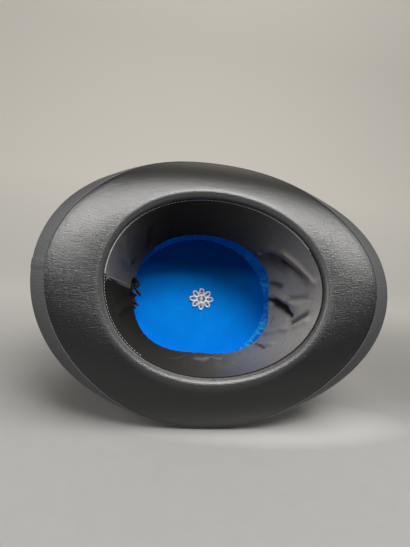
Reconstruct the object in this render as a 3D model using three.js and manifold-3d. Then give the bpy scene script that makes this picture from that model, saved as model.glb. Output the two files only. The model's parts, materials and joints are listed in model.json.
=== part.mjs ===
// A satin top hat, lying on its side the way it rests on a table. Millimetres, +Z up.
// Each piece is made in the hat's own frame: x to the front, y to the side that lies on the table,
// z from the head opening towards the tip. The angle phi runs round the hat, from the front by +y.
import * as THREE from 'three';
import Module from 'manifold-3d';
import { mergeVertices } from 'three/addons/utils/BufferGeometryUtils.js';

const DEGREE = Math.PI / 180;
const FULL_TURN = 2 * Math.PI;

// Driving dimensions
const STEPS_AROUND = 64;
// The rings start half a step on, so that the lying hat rests on flats and not on corners.
const ANGLES = Array.from({ length: STEPS_AROUND }, (_, i) => (i + 0.5) * FULL_TURN / STEPS_AROUND);
const GAP = 0.3;              // between pieces that touch
const HEAD = { length: 200, width: 165, egg: 0.04, squareness: 0.01, saddle: 4.5 };
const TIP = { length: 197, width: 172, egg: 0.02, squareness: 0.02, height: 131.3, edgeRadius: 0.7 };
const WAIST = 2.5;            // how far the crown's wall draws in between its foot and its tip
const WALL = { brim: 2, crown: 1.5, tip: 1.9, ribbon: 0.9, lining: 1 };

// The underside of the brim, from the head opening outwards: a fillet, a long gentle arc, a curl.
// dip is the slope where the fillet ends, bend and roll are the turns of the two arcs, in degrees.
const FILLET_RADIUS = 6;
const BRIM = {
  front: { dip: -15, reach: 35.7, bend: 6, curl: 16.5, roll: 14 },
  side: { dip: 20, reach: 49.2, bend: 36, curl: 13, roll: 85 },
  back: { dip: -17, reach: 36.1, bend: 5, curl: 17.5, roll: 12 },
};
const CORNER_CUT = 8.5;       // how much shorter the brim's reach is between front and side
const SIDE_UNEVENNESS = 1.2;  // and on the side that lies on the table
const BINDING_WIDTH = 10.5;
const BAND = { lowerEdge: 0.3, upperEdge: 41, lap: 26, lapHeight: 1.2 };

// The free edge of the side lining, and the places round it where stitches pull it inwards.
const LINING_EDGE = { length: 173, width: 151.4, squareness: 0.01, height: 104 };
const TACKS = [
  { at: 0, pull: 6.6, spread: 20 },
  { at: 90, pull: 11.6, spread: 38 },
  { at: 180, pull: 8.5, spread: 44 },
  { at: 270, pull: 1.8, spread: 24 },
];
// Folds that stand in from the side lining: where each starts and ends (angle, share of the depth).
const FOLDS = [
  { fromAngle: -38, fromDepth: 0.5, toAngle: -8, toDepth: 0.08, height: 4, halfWidth: 6 },
  { fromAngle: -4, fromDepth: 1, toAngle: 14, toDepth: 0.5, height: 5, halfWidth: 6 },
  { fromAngle: 22, fromDepth: 0.45, toAngle: 14, toDepth: 0.18, height: 3, halfWidth: 5 },
  { fromAngle: 88, fromDepth: 1, toAngle: 80, toDepth: 0.62, height: 5, halfWidth: 7 },
  { fromAngle: 206, fromDepth: 0.12, toAngle: 199, toDepth: 0.6, height: 3, halfWidth: 6 },
];
const GATHERS = { count: STEPS_AROUND / 2, height: 0.7 };
const DISC = { length: 161.2, width: 147, height: 127.7, thickness: 1.2, tuck: 2.5 };

const EMBLEM = { length: 29, width: 24, x: 2.7, thickness: 1.1, petals: 8 };
const BOW = { angle: 187, depth: 0.93, loop: 3.4, strand: 0.7, knot: 1.5, tail: 9 };

const COLOURS = { black: 0x17171b, ribbon: 0x26282c, blue: 0x0b4a9c, metal: 0xc9cdd4 };

// Lines round the hat

function oval(size, phi, outward = 0) {
  const halfLength = size.length / 2;
  const halfWidth = size.width / 2;
  const square = 1 + (size.squareness ?? 0) * Math.sin(2 * phi) ** 2;
  const normal = new THREE.Vector2(halfWidth * Math.cos(phi), halfLength * Math.sin(phi)).normalize();
  return new THREE.Vector2(
    halfLength * square * Math.cos(phi) + normal.x * outward,
    halfWidth * square * Math.sin(phi) * (1 - (size.egg ?? 0) * Math.cos(phi)) + normal.y * outward,
  );
}

function ovalPoint(size, phi, outward, z) {
  const point = oval(size, phi, outward);
  return new THREE.Vector3(point.x, point.y, z);
}

function seamHeight(phi) {
  return -HEAD.saddle * Math.cos(2 * phi);
}

function angleBetween(phi, degrees) {
  const turn = phi - degrees * DEGREE;
  return Math.atan2(Math.sin(turn), Math.cos(turn));
}

function blend(from, to, share) {
  return from + (to - from) * share;
}

function steps(from, to, count) {
  return Array.from({ length: count + 1 }, (_, i) => blend(from, to, i / count));
}

// Closed solids

// A ring solid: section(phi) gives the corners of its cross-section, anticlockwise seen with the
// outward direction to the right and z up.
function ringSolid(section) {
  const rings = ANGLES.map(section);
  const corners = rings[0].length;
  const indices = [];
  rings.forEach((ring, i) => {
    const here = i * corners;
    const next = ((i + 1) % rings.length) * corners;
    for (let k = 0; k < corners; k++) {
      const after = (k + 1) % corners;
      indices.push(here + k, next + k, here + after, here + after, next + k, next + after);
    }
  });
  return indexed(rings.flat(), indices);
}

// A disc solid: rows of points round the axis, from its lower middle out and back to its upper middle.
function discSolid(rows, bottom, top) {
  const count = STEPS_AROUND;
  const points = [bottom, ...rows.flat(), top];
  const indices = [];
  for (let i = 0; i < count; i++) {
    const next = (i + 1) % count;
    indices.push(0, 1 + next, 1 + i);
    for (let row = 0; row < rows.length - 1; row++) {
      const low = 1 + row * count;
      const high = low + count;
      indices.push(low + i, low + next, high + i, high + i, low + next, high + next);
    }
    const last = 1 + (rows.length - 1) * count;
    indices.push(last + i, last + next, points.length - 1);
  }
  return indexed(points, indices);
}

function indexed(points, indices) {
  const geometry = new THREE.BufferGeometry().setFromPoints(points);
  geometry.setIndex(indices);
  geometry.computeVertexNormals();
  return geometry;
}

function ovalRow(size, outward, z) {
  return ANGLES.map((phi) => ovalPoint(size, phi, outward, z));
}

// The brim

function brimValue(name, phi) {
  const toFront = Math.cos(phi);
  const { front, side, back } = BRIM;
  const lengthwise = blend(back[name], front[name], (1 + toFront) / 2);
  return blend(side[name], lengthwise, toFront ** 2);
}

function brimArcs(phi) {
  const fillet = (brimValue('dip', phi) + 90) * DEGREE;
  const corner = CORNER_CUT * Math.sin(2 * phi) ** 2;
  const reach = brimValue('reach', phi) - corner - SIDE_UNEVENNESS * Math.sin(phi);
  return [
    { length: FILLET_RADIUS * fillet, turn: fillet },
    { length: reach, turn: brimValue('bend', phi) * DEGREE },
    { length: brimValue('curl', phi), turn: brimValue('roll', phi) * DEGREE },
  ];
}

function walk(pose, length, turn) {
  const chord = length * Math.sin(turn / 2) / (turn / 2);
  const direction = pose.heading + turn / 2;
  return {
    outward: pose.outward + chord * Math.cos(direction),
    z: pose.z + chord * Math.sin(direction),
    heading: pose.heading + turn,
  };
}

// The point of the brim after a walk along its underside, lifted off it towards the crown.
function brimPoint(phi, distance, lift = 0) {
  let pose = { outward: 0, z: seamHeight(phi), heading: -90 * DEGREE };
  let left = distance;
  for (const arc of brimArcs(phi)) {
    const part = Math.min(left, arc.length);
    if (part <= 0) break;
    pose = walk(pose, part, arc.turn * part / arc.length);
    left -= part;
  }
  const outward = pose.outward - lift * Math.sin(pose.heading);
  return ovalPoint(HEAD, phi, outward, pose.z + lift * Math.cos(pose.heading));
}

function brimLength(phi) {
  return brimArcs(phi).reduce((sum, arc) => sum + arc.length, 0);
}

function brimSection(phi) {
  const [fillet, reach] = brimArcs(phi);
  const end = brimLength(phi) - WALL.ribbon - GAP;
  const level = fillet.length + reach.length;
  const under = [
    ...steps(0, fillet.length, 3),
    ...steps(fillet.length, level, 3).slice(1),
    ...steps(level, end, 4).slice(1),
  ];
  const over = [...steps(0, fillet.length, 2), ...under.slice(4)];
  return [
    ...under.map((distance) => brimPoint(phi, distance)),
    ...over.reverse().map((distance) => brimPoint(phi, distance, WALL.brim)),
  ];
}

function bindingSection(phi) {
  const end = brimLength(phi);
  const start = end - BINDING_WIDTH;
  const outer = GAP + WALL.ribbon;
  const below = steps(start, end - WALL.ribbon / 2, 3);
  const inside = steps(start, end - WALL.ribbon, 3);
  return [
    ...below.map((distance) => brimPoint(phi, distance, -outer)),
    brimPoint(phi, end, -outer / 2),
    brimPoint(phi, end, WALL.brim + outer / 2),
    ...below.reverse().map((distance) => brimPoint(phi, distance, WALL.brim + outer)),
    ...inside.map((distance) => brimPoint(phi, distance, WALL.brim + GAP)),
    ...inside.reverse().map((distance) => brimPoint(phi, distance, -GAP)),
  ];
}

// The crown

const CROWN_INSIDE = 0.6;     // from the head oval out to the crown wall's inner face
const TIP_UNDERSIDE = TIP.height - WALL.tip;

function crownPoint(phi, z, outward) {
  const share = z / TIP.height;
  const foot = oval(HEAD, phi, CROWN_INSIDE);
  const tip = oval(TIP, phi, -WALL.crown);
  const middle = foot.lerp(tip, share);
  const inward = WAIST * Math.sin(Math.PI * Math.max(share, 0));
  const normal = oval(HEAD, phi, 1).sub(oval(HEAD, phi));
  middle.addScaledVector(normal, outward - inward);
  return new THREE.Vector3(middle.x, middle.y, z);
}

function crownSection(phi) {
  const heights = steps(seamHeight(phi) + GAP, TIP_UNDERSIDE - GAP, 4);
  return [
    ...heights.map((z) => crownPoint(phi, z, WALL.crown)),
    ...heights.reverse().map((z) => crownPoint(phi, z, 0)),
  ];
}

function crownTip() {
  const rows = [
    ovalRow(TIP, -TIP.edgeRadius / 2, TIP_UNDERSIDE),
    ovalRow(TIP, 0, TIP_UNDERSIDE + TIP.edgeRadius / 2),
    ovalRow(TIP, 0, TIP.height - TIP.edgeRadius),
    ovalRow(TIP, -TIP.edgeRadius, TIP.height),
  ];
  return discSolid(rows, new THREE.Vector3(0, 0, TIP_UNDERSIDE), new THREE.Vector3(0, 0, TIP.height));
}

function bandSection(phi) {
  const bottom = seamHeight(phi) + BAND.lowerEdge;
  const inner = WALL.crown + GAP;
  const onLap = Math.abs(angleBetween(phi, 270)) < BAND.lap / HEAD.length;
  const outer = inner + WALL.ribbon + (onLap ? BAND.lapHeight : 0);
  const heights = steps(bottom, seamHeight(phi) + BAND.upperEdge, 2);
  return [
    ...heights.map((z) => crownPoint(phi, z, outer)),
    ...heights.reverse().map((z) => crownPoint(phi, z, inner)),
  ];
}

// The linings

function tackPull(phi) {
  return TACKS.reduce((sum, tack) => {
    const away = angleBetween(phi, tack.at) / (tack.spread * DEGREE);
    return sum + tack.pull * Math.exp(-away * away);
  }, 0);
}

// How far the folds lift the lining off its plain shape, at a share of its depth.
function foldHeight(phi, share) {
  return FOLDS.reduce((highest, fold) => {
    const depthSpan = fold.toDepth - fold.fromDepth;
    const along = THREE.MathUtils.clamp((share - fold.fromDepth) / depthSpan, 0, 1);
    const ridge = blend(fold.fromAngle, fold.toAngle, along);
    const aside = angleBetween(phi, ridge) * HEAD.width / 2 / fold.halfWidth;
    const beyond = (share - blend(fold.fromDepth, fold.toDepth, along)) / 0.1;
    return Math.max(highest, fold.height * Math.exp(-aside * aside - beyond * beyond));
  }, 0);
}

// The side lining's inner face, from the seam at the head opening (share 0) to its free edge (1).
function liningPoint(phi, share, outward = 0) {
  const seam = oval(HEAD, phi, CROWN_INSIDE - GAP - WALL.lining);
  const edge = oval(LINING_EDGE, phi, -tackPull(phi) * share ** 3);
  const point = seam.lerp(edge, share);
  const normal = oval(HEAD, phi, 1).sub(oval(HEAD, phi));
  const standsIn = foldHeight(phi, share) * Math.sin(Math.PI * Math.min(share * 1.6, 0.5));
  point.addScaledVector(normal, outward - standsIn);
  return new THREE.Vector3(point.x, point.y, blend(seamHeight(phi) + GAP, LINING_EDGE.height, share));
}

function sideLiningSection(phi) {
  const shares = [0, 0.14, 0.3, 0.46, 0.62, 0.78, 0.9, 1];
  return [
    ...shares.map((share) => liningPoint(phi, share, WALL.lining)),
    ...shares.reverse().map((share) => liningPoint(phi, share)),
  ];
}

const BEHIND_EDGE = 0.2;      // the share of the gathered band that the side lining covers
const SLACK = 0.8;            // between the two there

// The gathered band starts behind the lining's free edge and ends against the tip lining's face.
function bandPoint(phi, share, outward) {
  const behind = liningPoint(phi, 0.97, WALL.lining + SLACK);
  const passing = liningPoint(phi, 1, WALL.lining + SLACK);
  const rim = ovalPoint(DISC, phi, 0, DISC.height - GAP);
  const onward = Math.max((share - BEHIND_EDGE) / (1 - BEHIND_EDGE), 0);
  const ripple = GATHERS.height * Math.sin(GATHERS.count * phi) * Math.sin(Math.PI * onward);
  const point = onward > 0 ? passing.lerp(rim, onward) : behind.lerp(passing, share / BEHIND_EDGE);
  const normal = oval(DISC, phi, 1).sub(oval(DISC, phi));
  point.x += normal.x * (outward + ripple);
  point.y += normal.y * (outward + ripple);
  return point;
}

function liningBandSection(phi) {
  const shares = [0, BEHIND_EDGE, 0.55, 1];
  return [
    ...shares.map((share) => bandPoint(phi, share, WALL.lining)),
    ...shares.reverse().map((share) => bandPoint(phi, share, 0)),
  ];
}

function tipLining() {
  const back = DISC.height + DISC.thickness;
  const rows = [ovalRow(DISC, DISC.tuck, DISC.height), ovalRow(DISC, DISC.tuck, back)];
  return discSolid(rows, new THREE.Vector3(0, 0, DISC.height), new THREE.Vector3(0, 0, back));
}

// The emblem: an oval rosette of petals round a ring, pierced between them.
function emblemOutline(scale, bulge) {
  return steps(0, FULL_TURN, 48).slice(0, -1).map((angle) => {
    const radius = scale * (1 + bulge * Math.cos(EMBLEM.petals * angle));
    return new THREE.Vector2(
      EMBLEM.length / 2 * radius * Math.cos(angle),
      EMBLEM.width / 2 * radius * Math.sin(angle),
    );
  });
}

function emblemHole(angle) {
  const hole = new THREE.Path();
  const middle = new THREE.Vector2(
    EMBLEM.length / 2 * 0.62 * Math.cos(angle),
    EMBLEM.width / 2 * 0.62 * Math.sin(angle),
  );
  hole.absellipse(middle.x, middle.y, 2.7, 1.3, 0, FULL_TURN, true, angle);
  return hole;
}

function emblem() {
  const shape = new THREE.Shape(emblemOutline(0.93, 0.07));
  for (let i = 0; i < EMBLEM.petals; i++) {
    shape.holes.push(emblemHole(i * FULL_TURN / EMBLEM.petals));
  }
  const geometry = new THREE.ExtrudeGeometry(shape, {
    depth: EMBLEM.thickness, bevelEnabled: false, curveSegments: 4,
  });
  return geometry.translate(EMBLEM.x, 0, DISC.height - GAP - EMBLEM.thickness);
}

// The bow: two loops and two tails of flat ribbon round a knot, joined into one solid.
const wasm = await Module();
wasm.setup();

function joined(geometries) {
  const solids = geometries.map((geometry) => {
    for (const name of ['normal', 'uv']) geometry.deleteAttribute(name);
    const merged = mergeVertices(geometry, 1e-4);
    return new wasm.Manifold(new wasm.Mesh({
      numProp: 3,
      vertProperties: new Float32Array(merged.attributes.position.array),
      triVerts: new Uint32Array(merged.index.array),
    }));
  });
  const mesh = solids.reduce((whole, solid) => whole.add(solid)).getMesh();
  const geometry = new THREE.BufferGeometry();
  geometry.setAttribute('position', new THREE.BufferAttribute(mesh.vertProperties, 3));
  geometry.setIndex(new THREE.BufferAttribute(mesh.triVerts, 1));
  geometry.computeVertexNormals();
  return geometry;
}

// Made flat in x and y with its back at z = 0, then laid on the lining.
function bow() {
  const loops = [1, -1].map((side) => new THREE.TorusGeometry(BOW.loop, BOW.strand, 5, 10)
    .scale(1, 0.6, 1.6)
    .translate(side * BOW.loop, 0, 0)
    .rotateZ(side * 20 * DEGREE));
  const tails = [-50, -115].map((degrees) => new THREE.BoxGeometry(BOW.tail, 2, BOW.strand)
    .translate(BOW.tail / 2, 0, 0)
    .rotateZ(degrees * DEGREE));
  const knot = new THREE.SphereGeometry(BOW.knot, 8, 6);
  const geometry = joined([...loops, ...tails, knot]);
  const phi = BOW.angle * DEGREE;
  const seat = liningPoint(phi, BOW.depth);
  const inward = new THREE.Vector3(1, 0, 0);
  const along = liningPoint(phi, BOW.depth + 0.05).sub(liningPoint(phi, BOW.depth - 0.05)).normalize();
  const across = new THREE.Vector3().crossVectors(inward, along).normalize();
  const upright = new THREE.Vector3().crossVectors(along, across);
  const place = new THREE.Matrix4().makeBasis(along, across, upright);
  geometry.applyMatrix4(place);
  seat.addScaledVector(upright, BOW.knot + GAP);
  return geometry.translate(seat.x, seat.y, seat.z);
}

// The assembly

function piece(name, geometry, color, roughness, metalness = 0) {
  const mesh = new THREE.Mesh(geometry, new THREE.MeshStandardMaterial({ color, roughness, metalness }));
  mesh.name = name;
  return mesh;
}

// The tilt at which the brim and the crown both touch the table, found by halving the interval.
function restingTilt(brim, crown) {
  const reach = (mesh, tilt) => {
    const { array } = mesh.geometry.attributes.position;
    let most = -Infinity;
    for (let i = 0; i < array.length; i += 3) {
      most = Math.max(most, array[i + 1] * Math.cos(tilt) + array[i + 2] * Math.sin(tilt));
    }
    return most;
  };
  let low = 0;
  let high = 45 * DEGREE;
  for (let i = 0; i < 40; i++) {
    const middle = (low + high) / 2;
    if (reach(brim, middle) > reach(crown, middle)) low = middle;
    else high = middle;
  }
  return low;
}

const hat = new THREE.Group();
const binding = piece('brim_binding', ringSolid(bindingSection), COLOURS.ribbon, 0.7);
const tip = piece('crown_tip', crownTip(), COLOURS.black, 0.35);
hat.add(
  piece('brim', ringSolid(brimSection), COLOURS.black, 0.4),
  binding,
  piece('crown_side', ringSolid(crownSection), COLOURS.black, 0.35),
  tip,
  piece('hat_band', ringSolid(bandSection), COLOURS.ribbon, 0.7),
  piece('side_lining', ringSolid(sideLiningSection), COLOURS.black, 0.4),
  piece('lining_band', ringSolid(liningBandSection), COLOURS.blue, 0.4),
  piece('tip_lining', tipLining(), COLOURS.blue, 0.4),
  piece('emblem', emblem(), COLOURS.metal, 0.25, 1),
  piece('lining_bow', bow(), COLOURS.black, 0.6),
);
hat.rotation.x = -(90 * DEGREE + restingTilt(binding, tip));
hat.updateMatrixWorld(true);

// The origin is the middle of the lying hat's box, on the table.
const box = new THREE.Box3().setFromObject(hat, true);
const middle = box.getCenter(new THREE.Vector3());
hat.position.set(-middle.x, -middle.y, -box.min.z);

export default hat;
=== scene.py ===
# A satin top hat lying on its side on a pale floor, seen into its head opening.
# The hat's own frame is in millimetres: x to the front, y to the side that lies on the floor,
# z from the head opening towards the tip. The angle phi runs round the hat, from the front by +y.
import json
import math

import bpy
import numpy as np
from mathutils import Matrix

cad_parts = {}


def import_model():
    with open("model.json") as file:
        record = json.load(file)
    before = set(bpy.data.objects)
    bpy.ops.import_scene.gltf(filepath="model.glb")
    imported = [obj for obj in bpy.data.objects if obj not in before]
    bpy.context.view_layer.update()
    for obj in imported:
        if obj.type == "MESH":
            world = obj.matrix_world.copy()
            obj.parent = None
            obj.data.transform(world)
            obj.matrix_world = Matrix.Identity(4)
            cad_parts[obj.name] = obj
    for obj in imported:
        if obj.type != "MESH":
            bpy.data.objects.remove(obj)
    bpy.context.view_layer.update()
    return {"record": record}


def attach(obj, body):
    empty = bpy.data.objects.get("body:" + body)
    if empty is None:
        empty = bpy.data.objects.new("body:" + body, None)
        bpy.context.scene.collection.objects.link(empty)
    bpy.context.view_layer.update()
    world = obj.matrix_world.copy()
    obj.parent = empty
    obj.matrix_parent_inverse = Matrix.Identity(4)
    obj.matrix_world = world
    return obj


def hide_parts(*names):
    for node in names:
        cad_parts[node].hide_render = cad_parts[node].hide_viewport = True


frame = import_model()

MM = 0.001
DEGREE = math.pi / 180
FULL_TURN = 2 * math.pi
SEED = 7

# Driving dimensions, as in the solids
GAP = 0.3
HEAD = {"length": 200, "width": 165, "egg": 0.04, "squareness": 0.01, "saddle": 4.5}
TIP = {"length": 197, "width": 172, "egg": 0.02, "squareness": 0.02, "height": 131.3}
WAIST = 2.5                   # how far the crown's wall draws in between its foot and its tip
WALL = {"brim": 2, "crown": 1.5, "tip": 1.9, "lining": 1}
CROWN_INSIDE = 0.6            # from the head opening's line to the crown's inner face

# The underside of the brim, from the head opening outwards: a fillet, a long gentle arc, a curl.
# dip is the slope where the fillet ends, bend and roll are the turns of the two arcs, in degrees.
FILLET_RADIUS = 6
BRIM = {
    "dip": {"front": -15, "side": 20, "back": -17},
    "reach": {"front": 35.7, "side": 49.2, "back": 36.1},
    "bend": {"front": 6, "side": 36, "back": 5},
    "curl": {"front": 16.5, "side": 13, "back": 17.5},
    "roll": {"front": 14, "side": 85, "back": 12},
}
CORNER_CUT = 8.5              # how much shorter the brim's reach is between front and side
SIDE_UNEVENNESS = 1.2         # and on the side that lies on the floor
BINDING_WIDTH = 10.5
RIBBON_THICKNESS = 0.5        # of the ribbon as it is seen; its solid is thicker
RIBBON_REACH = 0.35           # how far its folded edge goes beyond the brim's own edge
BAND = {"lower_edge": 0.3, "upper_edge": 41}
LINING_EDGE = {"length": 173, "width": 151.4, "squareness": 0.01, "height": 104}
DISC = {"length": 161.2, "width": 147, "height": 127.7, "thickness": 1.2, "tuck": 2.5}
EMBLEM = {"length": 29, "width": 24, "x": 2.7, "petals": 8}
BOW = {"angle": 187, "depth": 0.93}
MAP_RADIUS = HEAD["length"] / 2     # the "around" map gives an angle as an arc of this radius

# Where stitches pull the side lining's free edge inwards: angle, pull, spread.
TACKS = ((0, 6.6, 20), (90, 11.6, 38), (180, 8.5, 44), (270, 1.8, 24))

# Folds of the side lining: from angle and depth, to angle and depth, height, half width.
# A fold with a negative height is a hollow.
FOLDS = (
    (-36, 0.40, -8, 0.13, 3.5, 4.0),
    (-39, 0.70, -9, 0.24, -1.4, 9.0),
    (-8, 0.95, 6, 0.50, 2.6, 3.5),
    (-2, 1.00, 14, 0.55, -3.2, 4.0),
    (26, 0.45, 20, 0.20, 2.0, 3.5),
    (20, 0.46, 14, 0.23, -2.5, 3.0),
    (88, 1.00, 80, 0.62, 4.5, 6.0),
    (206, 0.12, 199, 0.60, 2.5, 6.0),
    (-17, 0.95, -12, 0.75, -2.0, 3.0),
    (-1, 0.62, 4, 0.18, -1.8, 2.2),
    (30, 0.95, 26, 0.60, 2.2, 4.0),
    (43, 0.80, 40, 0.60, 2.2, 3.0),
    (-44, 0.85, -42, 0.55, 2.5, 4.0),
    (74, 1.00, 70, 0.70, 2.0, 4.0),
    (98, 1.00, 102, 0.75, 2.0, 4.0),
    (168, 0.95, 160, 0.40, 1.6, 5.0),
    (226, 0.95, 220, 0.30, 1.6, 6.0),
    (280, 0.90, 286, 0.40, 1.4, 5.0),
)


# The hat's place: the record's face mount fixes its axis and its height. TIP_MARK is that mount's
# point in the hat's frame.
TIP_MARK = np.array([9.0, 4.0, TIP["height"]])
mount = frame["record"]["mounts"][0]
axis_z = np.array(mount["axis"]) / np.linalg.norm(mount["axis"])
axis_x = np.array([1.0, 0.0, 0.0])
TO_WORLD = np.stack([axis_x, np.cross(axis_z, axis_x), axis_z], axis=1)
OPENING = np.array(mount["pos_m"]) / MM - TO_WORLD @ TIP_MARK


def world(points):
    """Points of the hat's frame, in millimetres, as points of the row frame, in metres."""
    return (np.asarray(points, float) @ TO_WORLD.T + OPENING) * MM


# Lines round the hat


def oval(size, phi, outward=0.0):
    half_length, half_width = size["length"] / 2, size["width"] / 2
    square = 1 + size.get("squareness", 0) * np.sin(2 * phi) ** 2
    egg = 1 - size.get("egg", 0) * np.cos(phi)
    plain = np.stack([half_length * square * np.cos(phi), half_width * square * np.sin(phi) * egg], -1)
    return plain + np.asarray(outward)[..., None] * oval_normal(size, phi)


def oval_normal(size, phi):
    normal = np.stack([size["width"] * np.cos(phi), size["length"] * np.sin(phi)], -1)
    return normal / np.linalg.norm(normal, axis=-1, keepdims=True)


def raised(flat, z):
    return np.concatenate([flat, np.broadcast_to(z, flat.shape[:-1])[..., None]], -1)


def seam_height(phi):
    return -HEAD["saddle"] * np.cos(2 * phi)


def angle_between(phi, degrees):
    turn = phi - degrees * DEGREE
    return np.arctan2(np.sin(turn), np.cos(turn))


def arc_between(phi, angle):
    """Millimetres round the lining from an angle to phi, the short way."""
    return ((phi - angle + math.pi) % FULL_TURN - math.pi) * HEAD["width"] / 2


def bell(x):
    return np.exp(-x * x)


# Meshes


def mesh_piece(name, points, faces, uvs, material, replaces=(), painted_light=None):
    """A smooth mesh piece on the root body, from points in the hat's frame."""
    mesh = bpy.data.meshes.new(name)
    mesh.from_pydata(world(points).tolist(), [], [list(map(int, f)) for f in faces])
    for layer, values in uvs.items():
        mesh.uv_layers.new(name=layer).data.foreach_set("uv", np.asarray(values, float).ravel())
    mesh.polygons.foreach_set("use_smooth", [True] * len(mesh.polygons))
    # The mesh carries painted light and shade in an attribute, for the lining's and the band's materials.
    if painted_light is not None:
        mesh.attributes.new("painted_light", "FLOAT", "POINT").data.foreach_set("value", painted_light)
    mesh.materials.append(material)
    mesh.update()
    piece = bpy.data.objects.new(name, mesh)
    bpy.context.scene.collection.objects.link(piece)
    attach(piece, "root")
    if replaces:
        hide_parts(*replaces)
    return piece


def ring_piece(name, section, around, material, replaces=(), painted_light=None):
    """A closed ring whose section(phi) gives its corners, shaped (around, corners, 3)."""
    phi = np.arange(around) * FULL_TURN / around
    grid = section(phi)
    corners = grid.shape[1]
    i, k = np.meshgrid(np.arange(around), np.arange(corners), indexing="ij")
    i2, k2 = (i + 1) % around, (k + 1) % corners
    faces = np.stack([i * corners + k, i2 * corners + k, i2 * corners + k2, i * corners + k2], -1)
    # Two maps: millimetres round the hat against millimetres along the section, and the plan view.
    lengths = np.linalg.norm(np.roll(grid[0], -1, 0) - grid[0], axis=1)
    along = np.concatenate([[0], np.cumsum(lengths)])
    round_hat = np.arange(around + 1) * FULL_TURN / around * MAP_RADIUS
    corner_steps = ((0, 0), (1, 0), (1, 1), (0, 1))
    around_uv = np.stack([np.stack([round_hat[i + a], along[k + b]], -1) for a, b in corner_steps], 2)
    flat = grid.reshape(-1, 3)
    plan_uv = flat[faces.reshape(-1)][:, :2]
    uvs = {"around": around_uv.reshape(-1, 2), "plan": plan_uv}
    painted_light_values = None if painted_light is None else painted_light(phi).ravel()
    return mesh_piece(name, flat, faces.reshape(-1, 4), uvs, material, replaces, painted_light_values)


def disc_piece(name, rows, around, material, replaces=()):
    """A closed disc from rows of points, out over its lower face and back over its upper one."""
    phi = np.arange(around) * FULL_TURN / around
    grid = [row(phi) for row in rows]
    bottom, top = grid[0].mean(0), grid[-1].mean(0)
    points = np.concatenate([[bottom], *grid, [top]])
    faces = []
    for i in range(around):
        j = (i + 1) % around
        faces.append((0, 1 + j, 1 + i))
        for row in range(len(rows) - 1):
            low, high = 1 + row * around, 1 + (row + 1) * around
            faces.append((low + i, low + j, high + j, high + i))
        last = 1 + (len(rows) - 1) * around
        faces.append((last + i, last + j, len(points) - 1))
    plan_uv = np.concatenate([points[list(f)][:, :2] for f in faces])
    return mesh_piece(name, points, faces, {"plan": plan_uv}, material, replaces)


def swept(route, width, thickness, up, sides=8):
    """A flat round-edged ribbon along a route: its points and faces. up is its flat side's way."""
    route = np.asarray(route, float)
    heading = np.gradient(route, axis=0)
    heading /= np.linalg.norm(heading, axis=1, keepdims=True)
    across = np.cross(heading, up)
    across /= np.linalg.norm(across, axis=1, keepdims=True)
    lift = np.cross(across, heading)
    angles = np.arange(sides) * FULL_TURN / sides
    end_taper = 0.6
    taper = np.ones(len(route))
    taper[0] = taper[-1] = end_taper
    rings = [
        p + t * (np.cos(angles)[:, None] * a * width / 2 + np.sin(angles)[:, None] * u * thickness / 2)
        for p, a, u, t in zip(route, across, lift, taper)
    ]
    points = np.concatenate([*rings, [route[0]], [route[-1]]])
    faces = []
    for n in range(len(route) - 1):
        for s in range(sides):
            t = (s + 1) % sides
            faces.append((n * sides + s, n * sides + t, (n + 1) * sides + t, (n + 1) * sides + s))
    first, last = len(points) - 2, len(points) - 1
    for s in range(sides):
        t = (s + 1) % sides
        end = (len(route) - 1) * sides
        faces.append((first, t, s))
        faces.append((last, end + s, end + t))
    return points, faces


def gathered(parts):
    """Several sets of points and faces as one."""
    points, faces, count = [], [], 0
    for part_points, part_faces in parts:
        points.append(part_points)
        faces += [tuple(v + count for v in face) for face in part_faces]
        count += len(part_points)
    return np.concatenate(points), faces


def smooth_route(knots, count):
    """A smooth line through given points."""
    knots = np.asarray(knots, float)
    padded = np.concatenate([[2 * knots[0] - knots[1]], knots, [2 * knots[-1] - knots[-2]]])
    spans = len(knots) - 1
    route = []
    for u in np.linspace(0, spans, count):
        n = min(int(u), spans - 1)
        t = u - n
        a, b, c, d = padded[n:n + 4]
        route.append(0.5 * (2 * b + (c - a) * t + (2 * a - 5 * b + 4 * c - d) * t ** 2
                            + (3 * b - a - 3 * c + d) * t ** 3))
    return np.array(route)


# Materials


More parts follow.
